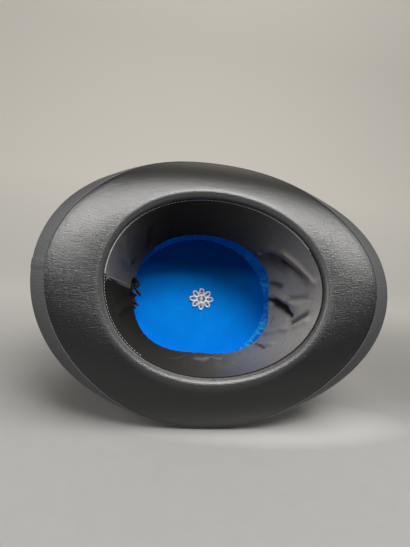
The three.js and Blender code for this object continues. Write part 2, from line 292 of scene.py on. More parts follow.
class Finish:
    """A material's node tree, with short ways to add and join nodes."""

    def __init__(self, name):
        self.material = bpy.data.materials.new(name)
        self.material.use_nodes = True
        self.tree = self.material.node_tree
        self.shader = self.tree.nodes["Principled BSDF"]

    def set(self, **values):
        for key, value in values.items():
            self.shader.inputs[key.replace("_", " ")].default_value = value

    def node(self, kind, inputs=None, **settings):
        made = self.tree.nodes.new(kind)
        for key, value in settings.items():
            setattr(made, key, value)
        for key, value in (inputs or {}).items():
            if isinstance(value, bpy.types.NodeSocket):
                self.tree.links.new(value, made.inputs[key])
            else:
                made.inputs[key].default_value = value
        return made

    def link(self, output, socket):
        self.tree.links.new(output, self.shader.inputs[socket])

    def uv(self, layer, scale=(1, 1, 1)):
        source = self.node("ShaderNodeUVMap", uv_map=layer)
        return self.node("ShaderNodeMapping", {"Vector": source.outputs[0], "Scale": scale}).outputs[0]

    def noise(self, vector, scale, detail=3.0, roughness=0.55):
        values = {"Vector": vector, "Scale": scale, "Detail": detail, "Roughness": roughness}
        return self.node("ShaderNodeTexNoise", values).outputs[0]

    def ribs(self, vector, period, direction, distortion=0.0):
        values = {"Vector": vector, "Scale": math.pi / (10 * period), "Distortion": distortion,
                  "Detail": 2.0, "Detail Scale": 0.4}
        return self.node("ShaderNodeTexWave", values, bands_direction=direction).outputs["Fac"]

    def math(self, operation, a, b=0.0):
        return self.node("ShaderNodeMath", {0: a, 1: b}, operation=operation).outputs[0]

    def between(self, value, low, high, to_low=0.0, to_high=1.0):
        values = {"Value": value, "From Min": low, "From Max": high, "To Min": to_low, "To Max": to_high}
        return self.node("ShaderNodeMapRange", values).outputs[0]

    def split(self, vector):
        return self.node("ShaderNodeSeparateXYZ", {"Vector": vector}).outputs

    def mix(self, factor, a, b):
        made = self.node("ShaderNodeMix", data_type="RGBA")
        for socket, value in ((made.inputs[0], factor), (made.inputs[6], a), (made.inputs[7], b)):
            if isinstance(value, bpy.types.NodeSocket):
                self.tree.links.new(value, socket)
            else:
                socket.default_value = value
        return made.outputs[2]

    def bump(self, height, distance, strength=1.0, below=None):
        values = {"Height": height, "Distance": distance * MM, "Strength": strength}
        if below is not None:
            values["Normal"] = below
        return self.node("ShaderNodeBump", values).outputs[0]


def grey(value, blue=1.0):
    return (value, value, value * blue, 1.0)


def brim_satin():
    """Ribbed black satin, worn to pale threads and painted with a highlight along the lower back of the
    head opening.
    """
    look = Finish("brim_satin")
    look.set(IOR=1.56, Specular_IOR_Level=0.56)
    ribs = look.noise(look.uv("plan", (0.17, 0.95, 1)), 1.0, 3.0, 0.6)
    grain = look.noise(look.uv("plan"), 0.95, 2.0, 0.8)
    cloud = look.noise(look.uv("plan", (0.02, 0.05, 1)), 1.0)
    base = look.mix(ribs, grey(0.0015, 1.1), grey(0.004, 1.08))
    base = look.mix(look.between(cloud, 0.35, 0.7), base, grey(0.003, 1.05))
    arc, from_seam, _ = look.split(look.uv("around"))
    # The fold at the head opening is paler from the front to the back by the side that lies on the floor:
    # partly worn to its pale threads, partly a painted highlight along the ridge.
    ridge = look.between(from_seam, -0.5, 0.8)
    ridge = look.math("MULTIPLY", ridge, look.between(from_seam, 4.5, 1.8))
    pale_ridge_from, pale_ridge_to = 20 * DEGREE * MAP_RADIUS, 182 * DEGREE * MAP_RADIUS
    side = look.between(arc, pale_ridge_from, pale_ridge_from + 130, 0.05)
    side = look.math("MULTIPLY", side, look.between(arc, pale_ridge_to, pale_ridge_to - 20))
    threads = look.noise(look.uv("around", (0.35, 1.6, 1)), 1.0, 5.0, 0.7)
    worn_and_highlight = look.math("MULTIPLY", look.math("MULTIPLY", ridge, side), look.between(threads, 0.40, 0.60))
    # It is paler grey all round, and most in front and behind: partly rubbed wear, partly painted sheen.
    rubbed_and_sheen = look.math("MULTIPLY", look.between(from_seam, 12, 3.0), look.between(grain, 0.3, 0.7))
    lengthwise = look.math("COSINE", look.math("MULTIPLY", arc, 1 / MAP_RADIUS))
    lengthwise = look.math("MULTIPLY", lengthwise, lengthwise)
    base = look.mix(rubbed_and_sheen, base, look.mix(lengthwise, grey(0.080), grey(0.105)))
    # The pale colour of the worn threads and of the painted highlight.
    base = look.mix(look.math("MULTIPLY", worn_and_highlight, 0.55), base, (0.34, 0.33, 0.32, 1))
    look.link(base, "Base Color")
    # The tops of the ribs and of the grain are glossier than what lies between them.
    dull, glossy = 0.20, 0.12
    gloss = [look.between(noise, 0.3, 0.7, dull, glossy) for noise in (grain, ribs)]
    look.link(look.math("ADD", *gloss), "Roughness")
    soft = look.bump(cloud, 0.5, 0.6)
    soft = look.bump(ribs, 0.24, 0.8, soft)
    look.link(look.bump(grain, 0.24, 0.7, soft), "Normal")
    return look.material


def ribbon():
    """Matt ribbed ribbon: its ribs cross it."""
    look = Finish("ribbed_ribbon")
    look.set(Roughness=0.62, IOR=1.5, Sheen_Weight=0.1, Sheen_Roughness=0.5)
    around = look.uv("around")
    ribs = look.ribs(around, 1.0, "X")
    dust = look.noise(look.uv("around", (0.5, 0.5, 1)), 1.0, 4.0)
    base = look.mix(ribs, grey(0.020, 1.1), grey(0.036, 1.08))
    base = look.mix(look.between(dust, 0.5, 0.8), base, grey(0.045, 1.05))
    look.link(base, "Base Color")
    look.link(look.bump(ribs, 0.12, 0.5), "Normal")
    return look.material


def black_silk(name, layer, slack):
    """Plain black satin with a weave too fine to see as ribs, drawn flat or a little slack."""
    look = Finish(name)
    look.set(Roughness=0.38, IOR=1.5, Sheen_Weight=0.05, Sheen_Roughness=0.4)
    weave = look.noise(look.uv(layer, (0.15, 3.0, 1)), 1.0, 4.0)
    look.link(look.mix(weave, grey(0.003, 1.1), grey(0.008, 1.08)), "Base Color")
    soft = look.bump(look.noise(look.uv(layer), 0.02), 0.8, 0.6) if slack else None
    look.link(look.bump(weave, 0.06, 0.6, soft), "Normal")
    return look.material


def lining_satin():
    """Thin glossy black satin."""
    look = Finish("lining_satin")
    # The specular level is linked below, where it varies. The export drops that link and takes
    # the level set here.
    look.set(Roughness=0.42, IOR=1.45, Specular_IOR_Level=0.1, Specular_Tint=(1.0, 0.88, 0.74, 1.0))
    weave = look.noise(look.uv("around", (0.2, 4.0, 1)), 1.0, 3.0)
    crease = look.noise(look.uv("around", (0.05, 0.11, 1)), 1.0, 4.0, 0.6)
    turn = look.math("MULTIPLY", look.split(look.uv("around"))[0], 1 / MAP_RADIUS)
    # The shine is painted by its place on the hat: round the front, and above the back seam,
    # where it starts at once and fades out upwards.
    middle, narrowness = 5 * DEGREE, 2.6
    front = look.math("COSINE", look.math("SUBTRACT", turn, middle))
    front = look.math("EXPONENT", look.math("MULTIPLY", look.math("SUBTRACT", front, 1.0), narrowness))
    upper = look.between(turn, 181.5 * DEGREE, 183.5 * DEGREE)
    fading = look.between(turn, 246 * DEGREE, 198 * DEGREE)
    upper = look.math("MULTIPLY", upper, look.math("MULTIPLY", fading, fading))
    shine = look.math("ADD", front, look.math("MULTIPLY", upper, 0.5))
    # Painted shade and highlights along the creases, carried by the mesh.
    painted_light = look.node("ShaderNodeAttribute", attribute_name="painted_light").outputs["Fac"]
    shine = look.math("MULTIPLY", shine, look.math("SUBTRACT", 1.0, painted_light))
    mottle = look.noise(look.uv("around", (0.12, 0.12, 1)), 1.0, 5.0, 0.75)
    shine = look.math("MULTIPLY", shine, look.between(mottle, 0.3, 0.7, 0.88, 1.12))
    shine_squared = look.math("MULTIPLY", shine, shine)
    look.link(look.between(shine_squared, 0.01, 0.6, 0.0, 0.35), "Specular IOR Level")
    base = look.mix(shine, (0.022, 0.0215, 0.0195, 1), (0.355, 0.335, 0.31, 1))
    look.link(look.mix(look.between(weave, 0.3, 0.8, 0.0, 0.25), base, grey(0.01)), "Base Color")
    soft = look.bump(crease, 1.6, 0.5, look.bump(mottle, 0.8, 0.6))
    look.link(look.bump(weave, 0.05, 0.5, soft), "Normal")
    return look.material


def blue_satin(name, layer, metallic, crinkle):
    """Blue satin; its weave shows as faint streaks across the hat."""
    look = Finish(name)
    look.set(Roughness=0.5, Metallic=metallic, Specular_IOR_Level=0.05)
    streaks = look.noise(look.uv(layer, (1.6, 0.03, 1)), 1.0, 4.0, 0.65)
    cloud = look.noise(look.uv(layer, (0.03, 0.03, 1)), 1.0)
    base = look.mix(streaks, (0.000, 0.160, 0.63, 1), (0.000, 0.285, 0.92, 1))
    base = look.mix(look.between(cloud, 0.4, 0.75), base, (0.000, 0.26, 0.86, 1))
    if layer == "plan":
        # The disc's upper part lies in deep shade. The lights give some of it, this darker blue the rest.
        upper = look.split(look.uv(layer))[1]
        base = look.mix(look.between(upper, -26, -44, 0.0, 0.75), base, (0.0, 0.03, 0.25, 1))
    else:
        # Painted highlights on the crumpled band's streaks, by place on the hat, painted shade between
        # them.
        lines = look.noise(look.uv(layer, (0.17, 0.06, 1)), 1.0, 4.0, 0.75)
        # Painted highlights by place on the band, carried by the mesh.
        painted_light = look.node("ShaderNodeAttribute", attribute_name="painted_light").outputs["Fac"]
        lit = look.math("MULTIPLY", painted_light, look.between(lines, 0.42, 0.56, 0.15, 1.0))
        base = look.mix(look.between(lines, 0.46, 0.36, 0.0, 0.5), base, (0.0, 0.05, 0.32, 1))
        base = look.mix(lit, base, (0.06, 0.60, 1.0, 1))
        look.link(look.between(lit, 0.0, 0.6, metallic, 0.0), "Metallic")
    look.link(base, "Base Color")
    creases = look.noise(look.uv(layer, (0.25, 0.12, 1)), 1.0, 3.0, 0.6)
    soft = look.bump(creases, crinkle, 1.0, look.bump(cloud, 0.7, 0.5))
    look.link(look.bump(streaks, 0.05, 0.5, soft), "Normal")
    return look.material


def silver():
    look = Finish("silver")
    look.set(Metallic=0.6, Roughness=0.38, Base_Color=(1.0, 0.98, 0.95, 1), Specular_IOR_Level=1.0)
    place = look.node("ShaderNodeTexCoord").outputs["Object"]
    marks = look.noise(place, 900.0, 4.0)
    look.link(look.between(marks, 0.2, 0.8, 0.36, 0.50), "Roughness")
    look.link(look.bump(marks, 0.05, 0.3), "Normal")
    return look.material


def thread(name, colour, sheen=0.3):
    """Twisted thread or narrow tape."""
    look = Finish(name)
    look.set(Roughness=0.6, Sheen_Weight=sheen, Sheen_Roughness=0.5)
    place = look.node("ShaderNodeTexCoord").outputs["Object"]
    twist = look.noise(place, 2500.0, 2.0)
    dark = tuple(c * 0.5 for c in colour[:3]) + (1.0,)
    look.link(look.mix(twist, dark, colour), "Base Color")
    look.link(look.bump(twist, 0.08, 0.6), "Normal")
    return look.material


# The brim


def brim_value(name, phi):
    values = BRIM[name]
    to_front = np.cos(phi)
    lengthwise = values["back"] + (values["front"] - values["back"]) * (1 + to_front) / 2
    return values["side"] + (lengthwise - values["side"]) * to_front ** 2


def brim_arcs(phi):
    """Length and turn of the fillet, the long arc and the curl."""
    fillet = (brim_value("dip", phi) + 90) * DEGREE
    reach = brim_value("reach", phi) - CORNER_CUT * np.sin(2 * phi) ** 2 - SIDE_UNEVENNESS * np.sin(phi)
    return (
        (FILLET_RADIUS * fillet, fillet),
        (reach, brim_value("bend", phi) * DEGREE),
        (brim_value("curl", phi), brim_value("roll", phi) * DEGREE),
    )


def brim_length(phi):
    return sum(length for length, _ in brim_arcs(phi))


def brim_point(phi, distance, lift=0.0):
    """The point after a walk along the brim's underside, lifted off it towards the crown."""
    outward, z, heading = np.zeros_like(phi), seam_height(phi), np.full_like(phi, -90 * DEGREE)
    left = np.broadcast_to(distance, phi.shape).astype(float)
    for length, turn in brim_arcs(phi):
        part = np.clip(left, 0, length)
        part_turn = turn * part / length
        half = np.where(np.abs(part_turn) < 1e-9, 1e-9, part_turn / 2)
        chord = part * np.sin(half) / half
        outward = outward + chord * np.cos(heading + half)
        z = z + chord * np.sin(heading + half)
        heading = heading + part_turn
        left = left - part
    return raised(oval(HEAD, phi, outward - lift * np.sin(heading)), z + lift * np.cos(heading))


def brim_section(phi):
    end = brim_length(phi) - RIBBON_THICKNESS - RIBBON_REACH
    fillet, reach, _ = (length for length, _ in brim_arcs(phi))
    level = fillet + reach
    under = [fillet * s for s in np.linspace(0, 1, 9)]
    under += [fillet + reach * s for s in np.linspace(0, 1, 22)[1:]]
    under += [level + (end - level) * s for s in np.linspace(0, 1, 13)[1:]]
    lower = [brim_point(phi, d) for d in under]
    upper = [brim_point(phi, d, WALL["brim"]) for d in reversed(under)]
    return np.stack(lower + upper, axis=1)


def binding_section(phi):
    """A ribbon folded over the brim's edge, with its two free edges standing a little proud."""
    end = brim_length(phi) - RIBBON_REACH
    lap_from, lap_to, lap_height = 180 * DEGREE, 183.5 * DEGREE, 0.35
    lap = np.where((phi > lap_from) & (phi < lap_to), lap_height, 0.0)
    low = GAP / 3
    high = WALL["brim"] + GAP / 3
    outer = RIBBON_THICKNESS + lap
    rounding = 0.6
    spread = [end - BINDING_WIDTH + (BINDING_WIDTH - rounding) * s for s in np.linspace(0, 1, 11)]
    below = [brim_point(phi, d, -low - outer) for d in spread]
    above = [brim_point(phi, d, high + outer) for d in reversed(spread)]
    middle = WALL["brim"] / 2
    fold_radius = middle + low + outer
    fold = [
        brim_point(phi, end - rounding + rounding * np.cos(a) + lap, middle + fold_radius * np.sin(a))
        for a in np.linspace(-90, 90, 9)[1:-1] * DEGREE
    ]
    inside_end = end - RIBBON_THICKNESS
    inner_above = [brim_point(phi, np.minimum(d, inside_end), high) for d in spread]
    inner_below = [brim_point(phi, np.minimum(d, inside_end), -low) for d in reversed(spread)]
    return np.stack(below + fold + above + inner_above + inner_below, axis=1)


# The crown


def crown_point(phi, z, outward):
    share = np.asarray(z / TIP["height"])[..., None]
    foot, tip = oval(HEAD, phi, CROWN_INSIDE), oval(TIP, phi, -WALL["crown"])
    inward = WAIST * np.sin(math.pi * np.maximum(z / TIP["height"], 0))
    flat = foot + (tip - foot) * share + np.asarray(outward - inward)[..., None] * oval_normal(HEAD, phi)
    return raised(flat, z)


def crown_section(phi):
    foot = seam_height(phi) + GAP
    top = TIP["height"] - WALL["tip"] - 0.05
    heights = [foot + (top - foot) * s for s in np.linspace(0, 1, 40)]

    def slack(z):
        """Long shallow waves of slack cloth, which fade at both ends."""
        fade = np.sin(math.pi * np.clip(z / TIP["height"], 0, 1))
        return 0.35 * fade * (np.sin(7 * phi + z / 19) + 0.6 * np.sin(11 * phi - z / 31 + 1))

    outer = [crown_point(phi, z, WALL["crown"] + slack(z)) for z in heights]
    inner = [crown_point(phi, z, 0.0) for z in reversed(heights)]
    return np.stack(outer + inner, axis=1)


def crown_tip_rows():
    low, high = TIP["height"] - WALL["tip"] + 0.05, TIP["height"]
    radius = 0.9
    rows = [(-r, low) for r in (60, 30, 1.0)]
    rows += [(-radius + radius * math.cos(a), high - radius + radius * math.sin(a))
             for a in np.linspace(-60, 90, 8) * DEGREE]
    rows += [(-r, high) for r in (8, 30, 60)]
    return [lambda phi, r=r, z=z: raised(oval(TIP, phi, np.full_like(phi, r)), z) for r, z in rows]


def band_section(phi):
    """Ribbed ribbon round the crown's foot, lapped on the side that lies uppermost."""
    inner = WALL["crown"] + 0.15
    lap_height, lap_half_angle, steepness = 1.2, 0.13, 400
    lap = lap_height / (1 + np.exp((np.abs(angle_between(phi, 270)) - lap_half_angle) * steepness))
    thickness, edge_rounding = 0.7, 0.4
    outer = inner + thickness + lap
    foot = seam_height(phi) + BAND["lower_edge"]
    top = seam_height(phi) + BAND["upper_edge"]
    rows = 24
    heights = [foot + (top - foot) * s for s in np.linspace(0, 1, rows)]
    outside = [crown_point(phi, z, outer - edge_rounding * (n in (0, rows - 1)))
               for n, z in enumerate(heights)]
    return np.stack(outside + [crown_point(phi, z, inner) for z in reversed(heights)], axis=1)


# The linings


def tack_pull(phi):
    return sum(pull * bell(angle_between(phi, at) / (spread * DEGREE)) for at, pull, spread in TACKS)


def slanting_line(share, from_angle, from_depth, to_angle, to_depth):
    """The angle and depth that a slanting line has reached at a share of the lining's depth."""
    along = np.clip((share - from_depth) / (to_depth - from_depth), 0, 1)
    angle = from_angle + (to_angle - from_angle) * along
    return angle * DEGREE, from_depth + (to_depth - from_depth) * along


def fold_lift(phi, share):
    """How far the folds lift the side lining off its plain shape, at a share of its depth."""
    fade = 0.1
    lift = np.zeros_like(phi)
    for *line, height, half_width in FOLDS:
        ridge, reached = slanting_line(share, *line)
        lift = lift + height * bell(arc_between(phi, ridge) / half_width) * bell((share - reached) / fade)
    return lift


def small_folds():
    """Short soft folds all over the side lining: angle, depth, slant, length, height, half width."""
    draw = np.random.default_rng(SEED)
    count = 54
    return np.stack([
        draw.uniform(0, FULL_TURN, count), draw.uniform(0.25, 1.0, count),
        draw.normal(0.15, 0.35, count), draw.uniform(9, 26, count),
        draw.uniform(-0.7, 0.8, count), draw.uniform(2.5, 6.0, count),
    ], axis=1)


SMALL_FOLDS = small_folds()


def small_lift(phi, share):
    lift = np.zeros_like(phi)
    for angle, depth, slant, length, height, half_width in SMALL_FOLDS:
        x = arc_between(phi, angle)
        y = (share - depth) * LINING_EDGE["height"]
        across = x * math.cos(slant) - y * math.sin(slant)
        along = x * math.sin(slant) + y * math.cos(slant)
        lift = lift + height * bell(across / half_width) * bell(along / length)
    return lift


def puckers(phi):
    """Uneven little gathers, round the hat."""
    return (np.sin(53 * phi) + 0.7 * np.sin(71 * phi + 1.3) + 0.5 * np.sin(97 * phi + 0.4)) / 2.2


def lining_point(phi, share, outward=0.0):
    """The side lining's inner face, from the seam at the head opening (share 0) to its edge (1)."""
    share = np.broadcast_to(share, phi.shape).astype(float)
    seam = oval(HEAD, phi, CROWN_INSIDE - GAP - WALL["lining"])
    edge = oval(LINING_EDGE, phi, -tack_pull(phi) * share ** 3)
    # The folds grow out of the seam, and flatten again towards the hem.
    full_at, flatten_from, flattened = 0.3125, 0.82, 0.85
    room = np.sin(math.pi / 2 * np.minimum(share / full_at, 1))
    at_edge = np.clip((share - flatten_from) / (1 - flatten_from), 0, 1)
    stands_in = (fold_lift(phi, share) + small_lift(phi, share)) * room * (1 - flattened * at_edge ** 2)
    # A hollow can go no deeper than the room behind the cloth.
    deepest_at = 0.625
    stands_in = np.where(stands_in < 0, stands_in * np.minimum(share / deepest_at, 1), stands_in)
    pucker_height, pucker_from = 0.22, 0.7
    near_hem = np.maximum(share - pucker_from, 0) / (1 - pucker_from)
    stands_in = stands_in + pucker_height * puckers(phi) * near_hem
    flat = seam + (edge - seam) * share[..., None]
    flat = flat + (outward - stands_in)[..., None] * oval_normal(HEAD, phi)
    foot = seam_height(phi) + GAP
    return raised(flat, foot + (LINING_EDGE["height"] - foot) * share)


HEM = {"from": 0.955, "middle": 0.985, "half_height": 0.02, "thickness": 0.5}
LINING_SHARES = np.concatenate([np.linspace(0, HEM["from"], 52), np.linspace(HEM["from"], 1, 8)[1:]])

# Painted shade along the creases, dulling the painted shine, and painted highlight where one is raised:
# from angle and depth, to angle and depth, half width, strength. A raised place has a negative strength.
PAINTED_CREASE_LIGHT = (
    (-44, 0.95, -26, 0.62, 12.0, 0.45),
    (-38, 0.68, -12, 0.27, 10.0, 0.55),
    (-30, 0.54, -16, 0.34, 4.5, 0.25),
    (-34, 0.37, -9, 0.14, 2.6, -0.80),
    (-2.5, 1.00, 3, 0.79, 3.0, 1.20),
    (2, 0.86, 8, 0.66, 6.5, 1.20),
    (7, 0.68, 13.5, 0.55, 3.4, 1.20),
    (19.5, 0.46, 14, 0.23, 4.2, 0.80),
    (0, 0.60, 0, 0.25, 3.0, 0.35),
    (-17, 0.95, -12, 0.78, 4.0, 0.75),
    (15, 0.89, 20, 0.93, 1.6, 0.60),
    (42, 0.93, 44.5, 0.62, 1.6, 0.80),
    (-46, 0.86, -44, 0.80, 1.6, -1.20),
    (112, 0.74, 101, 0.92, 1.5, -2.00),
    (99, 0.94, 80, 0.96, 1.8, 0.90),
    (92, 0.86, 86, 0.80, 4.0, -3.00),
    (80, 0.92, 74, 0.84, 1.5, -2.00),
    (228, 0.40, 222, 0.82, 4.0, 0.75),
    (205, 0.80, 203, 0.76, 4.0, 0.70),
    (218, 0.10, 208, 0.50, 5.0, -0.30),
)


def painted_crease_light(phi, share):
    """How much painted shade dulls the shine, up to 1 for none left, or painted highlight raises it, below
    0.
    """
    # The edge at the head opening has painted shade in front and below, and a painted highlight above.
    dull, bright, edge_depth = 1.0, -1.5, 0.012
    edge = np.where(np.abs(angle_between(phi, 60)) < 90 * DEGREE, dull, bright)
    painted_light = edge * (share < edge_depth)
    for *line, half_width, strength in PAINTED_CREASE_LIGHT:
        ridge, reached = slanting_line(share, *line)
        aside = arc_between(phi, ridge)
        beyond = (share - reached) * LINING_EDGE["height"]
        painted_light = painted_light + strength * bell(aside / half_width) * bell(beyond / half_width)
    return np.clip(painted_light, -4, 1)


def lining_painted_light(phi):
    rows = [painted_crease_light(phi, share) for share in LINING_SHARES]
    return np.stack(rows + rows[::-1], axis=1)


def side_lining_section(phi):
    """The side lining with a rolled hem at its free edge."""
    thickness = 0.6
    rows = []
    for share in LINING_SHARES:
        off_middle = (share - HEM["middle"]) / HEM["half_height"]
        roll = HEM["thickness"] * math.sqrt(max(1 - off_middle ** 2, 0))
        rows.append((share, -roll * 0.8, thickness + roll * 0.2))
    inner = [lining_point(phi, s, np.full_like(phi, low)) for s, low, _ in reversed(rows)]
    outer = [lining_point(phi, s, np.full_like(phi, high)) for s, _, high in rows]
    return np.stack(outer + inner, axis=1)


# Where the gathered band carries painted highlights: angle, half width and strength.
BAND_PAINTED_HIGHLIGHTS = ((-16, 7, 1.0), (2, 6, 0.5), (20, 12, 0.95), (38, 14, 1.0), (-42, 16, 0.2))
BAND_CORNERS = 54             # of the band's section


def band_pleats(phi):
    """Irregular pleats of the gathered blue band."""
    draw = np.random.default_rng(SEED + 1)
    total = np.zeros_like(phi)
    for waves in (31, 44, 58, 73, 90):
        total += draw.uniform(0.5, 1.0) * np.sin(waves * phi + draw.uniform(0, FULL_TURN))
    return np.tanh(total)


def band_painted_light(phi):
    lit = np.zeros_like(phi)
    for angle, half_width, strength in BAND_PAINTED_HIGHLIGHTS:
        lit += strength * bell(angle_between(phi, angle) / (half_width * DEGREE))
    return np.repeat(np.minimum(lit, 1)[:, None], BAND_CORNERS, axis=1)


def lining_band_section(phi):
    """From behind the side lining's edge, out into a soft bulge, to the tip lining's rim."""
    outside_lining, thickness = 1.4, 0.5
    behind = lining_point(phi, 0.95, np.full_like(phi, outside_lining))
    passing = lining_point(phi, 1.0, np.full_like(phi, outside_lining))
    rim = raised(oval(DISC, phi), DISC["height"] - 0.05)
    normal = raised(oval_normal(DISC, phi), 0.0)
    pleats = band_pleats(phi)
    inner = [behind]
    for share in np.linspace(0, 1, BAND_CORNERS // 2 - 1):
        swell = math.sin(math.pi * share)
        wave = 1.2 * pleats * (0.35 + 0.65 * swell) * min(share * 8, 1) * min((1 - share) * 6, 1)
        bulge = 1.6 * swell
        inner.append(passing + (rim - passing) * share + normal * (wave + bulge)[:, None])
    outer = [point + normal * thickness for point in inner]
    return np.stack(outer + inner[::-1], axis=1)


def tip_lining_rows():
    """A disc that swells a little and puckers where the band is sewn to it."""
    half = min(DISC["length"], DISC["width"]) / 2 + DISC["tuck"]

    def outline(phi, inset):
        return oval(DISC, phi, np.full_like(phi, DISC["tuck"])) * (1 - inset / half)

    def face(inset):
        def row(phi):
            puckered = band_pleats(phi) * bell((inset - DISC["tuck"]) / 7) * (inset > DISC["tuck"] + 0.5)
            sag = 0.9 * (1 - bell(inset / 40)) + 0.35 * puckered
            return raised(outline(phi, inset), DISC["height"] + 0.2 * sag)
        return row

    def back(inset):
        return lambda phi: raised(outline(phi, inset), DISC["height"] + DISC["thickness"])

    insets = [72, 66, 58, 50, 42, 34, 27, 21, 16, 12, 9, 7, 5.5, 4.2, 3, 1.5, 0]
    return [face(inset) for inset in insets] + [back(inset) for inset in (0, 20, 50, 72)]


# The emblem: an open rosette of wire petals round a ring and a domed boss.


def wire_loop(centre, length, width, angle, z, thickness, sides=8, count=28):
    turns = np.arange(count) * FULL_TURN / count
    c, s = math.cos(angle), math.sin(angle)
    local = np.stack([length / 2 * np.cos(turns), width / 2 * np.sin(turns)], -1)
    outwards = np.stack([np.cos(turns) / length, np.sin(turns) / width], -1)
    outwards /= np.linalg.norm(outwards, axis=1, keepdims=True)
    turn = np.array([[c, -s], [s, c]])
    local, outwards = local @ turn.T + centre, outwards @ turn.T
    points = []
    for n in range(count):
        for k in range(sides):
            a = k * FULL_TURN / sides
            flat = local[n] + outwards[n] * thickness / 2 * math.cos(a)
            points.append((*flat, z - thickness / 2 * math.sin(a)))
    faces = [
        (n * sides + k, n * sides + (k + 1) % sides,
         (n + 1) % count * sides + (k + 1) % sides, (n + 1) % count * sides + k)
        for n in range(count) for k in range(sides)
    ]
    return np.array(points), faces


def dome(centre, radius, z, height, rings=5, count=20):
    points, faces = [], []
    for ring in range(rings):
        a = ring / rings * math.pi / 2
        for n in range(count):
            b = n * FULL_TURN / count
            points.append((centre[0] + radius * math.cos(a) * math.cos(b),
                           centre[1] + radius * math.cos(a) * math.sin(b), z - height * math.sin(a)))
    points += [(*centre, z - height), (*centre, z)]
    top, bottom = len(points) - 2, len(points) - 1
    for n in range(count):
        m = (n + 1) % count
        for ring in range(rings - 1):
            low, high = ring * count, (ring + 1) * count
            faces.append((low + n, high + n, high + m, low + m))
        faces.append(((rings - 1) * count + n, top, (rings - 1) * count + m))
        faces.append((n, m, bottom))
    return np.array(points), faces


def emblem_parts():
    middle = np.array([EMBLEM["x"], 0.0])
    half = np.array([EMBLEM["length"] / 2, EMBLEM["width"] / 2])
    z = DISC["height"] - 0.9
    # Where the ring, the petals and their two rows of beads lie, as shares of the way to the rim.
    ring, petals, inner_beads, outer_beads = 0.42, 0.66, 0.62, 0.97
    parts = [wire_loop(middle, EMBLEM["length"] * ring, EMBLEM["width"] * ring, 0, z - 0.2, 1.9, count=40)]
    for n in range(EMBLEM["petals"]):
        angle = n * FULL_TURN / EMBLEM["petals"]
        way = np.array([math.cos(angle), math.sin(angle)])
        parts.append(wire_loop(middle + half * way * petals, 8.2 if n % 2 else 8.8, 5.0, angle, z, 2.4))
        parts.append(dome(middle + half * way * inner_beads, 0.9, z + 0.5, 1.2))
        parts.append(dome(middle + half * way * outer_beads, 0.8, z + 0.5, 1.1))
    parts.append(dome(middle, 2.9, z + 0.6, 1.9))
    return parts


# The bow of the lining's drawstring


def bow_frame():
    phi = np.array([BOW["angle"] * DEGREE])
    seat = lining_point(phi, BOW["depth"])[0]
    along = lining_point(phi, BOW["depth"] + 0.03)[0] - lining_point(phi, BOW["depth"] - 0.03)[0]
    along /= np.linalg.norm(along)
    inward = -raised(oval_normal(HEAD, phi), 0.0)[0]
    across = np.cross(inward, along)
    across /= np.linalg.norm(across)
    return seat, along, across, np.cross(along, across)


def bow_parts():
    """Two loops, two tails and a knot of narrow tape, on the lining near its edge."""
    seat, along, across, upright = bow_frame()

    def place(knots):
        return seat + np.asarray(knots) @ np.stack([along, across, upright])

    tape, thin = 3.4, 1.2
    # Each run's points: millimetres along the lining, across it, and off it.
    runs = (
        [(0, 0, 1.2), (0.2, 3.2, 3.0), (0.4, 3.8, 6.2), (0.8, 1.4, 8.8), (0.5, -1.2, 7.6),
         (0.1, -0.6, 4.0), (0, 0, 1.3)],
        [(0, 0, 1.2), (-1.4, 2.6, 1.6), (-3.0, 5.2, 2.6), (-3.4, 6.0, 5.0), (-2.2, 3.6, 5.6),
         (-0.8, 1.4, 3.6), (0, 0, 1.5)],
        [(0, -0.4, 1.6), (0.6, -3.6, 5.4), (1.0, -7.4, 9.4), (1.2, -10.6, 13.4)],
        [(0, -0.6, 1.4), (-1.2, -3.6, 2.2), (-2.6, -6.4, 3.8), (-3.4, -9.6, 4.0)],
    )
    parts = [swept(smooth_route(place(run), 34), tape, thin, along) for run in runs]
    knot = smooth_route(place([(-1.1, -0.9, 1.3), (-0.4, 0.5, 2.3), (0.6, 0.6, 2.3), (1.2, -0.8, 1.3)]), 16)
    parts.append(swept(knot, 3.0, 1.8, along))
    return parts


# Stitches along the seam of the head opening, and a few loose threads


def stitch_parts():
    """Stitches where the lining meets the brim, round the back of the head opening."""
    parts = []
    count, length = 190, 0.62
    from_angle, to_angle = 130, 335
    inside, above = 0.75, 0.9
    for n in range(int(count * from_angle / 360), int(count * to_angle / 360)):
        phi = np.linspace(n, n + length, 4) / count * FULL_TURN
        route = raised(oval(HEAD, phi, np.full_like(phi, -inside)), seam_height(phi) + above)
        parts.append(swept(route, 0.8, 0.6, np.array([0, 0, 1.0]), sides=5))
    return parts


def edge_stitch_parts():
    """A row of stitches along the ribbon's inner edge, on the underside of the brim."""
    parts = []
    count, length = 330, 0.7
    for n in range(count):
        phi = np.linspace(n, n + length, 4) / count * FULL_TURN
        start = brim_length(phi) - BINDING_WIDTH - RIBBON_REACH
        parts.append(swept(brim_point(phi, start, -0.35), 0.45, 0.3, np.array([0, 0, 1.0]), sides=5))
    return parts


def frayed_parts():
    """Short brown thread ends on the lining's edge, below the bow."""
    draw = np.random.default_rng(SEED + 2)
    parts = []
    for angle in np.linspace(178, 166, 14):
        phi = np.array([angle * DEGREE])
        root = lining_point(phi, 0.985)[0] + np.array([0.5, 0, 0])
        way = np.array([draw.uniform(0.4, 1.6), draw.uniform(-0.6, 1.4), draw.uniform(-0.8, 0.2)])
        turn = draw.normal(0, 0.7, 3)
        knots = root + np.array([way * 0, way, way * 1.9 + turn, way * 2.6 + 2 * turn])
        parts.append(swept(smooth_route(knots, 10), 2.0, 1.2, np.array([0.1, 0.2, 1.0]), sides=6))
    return parts


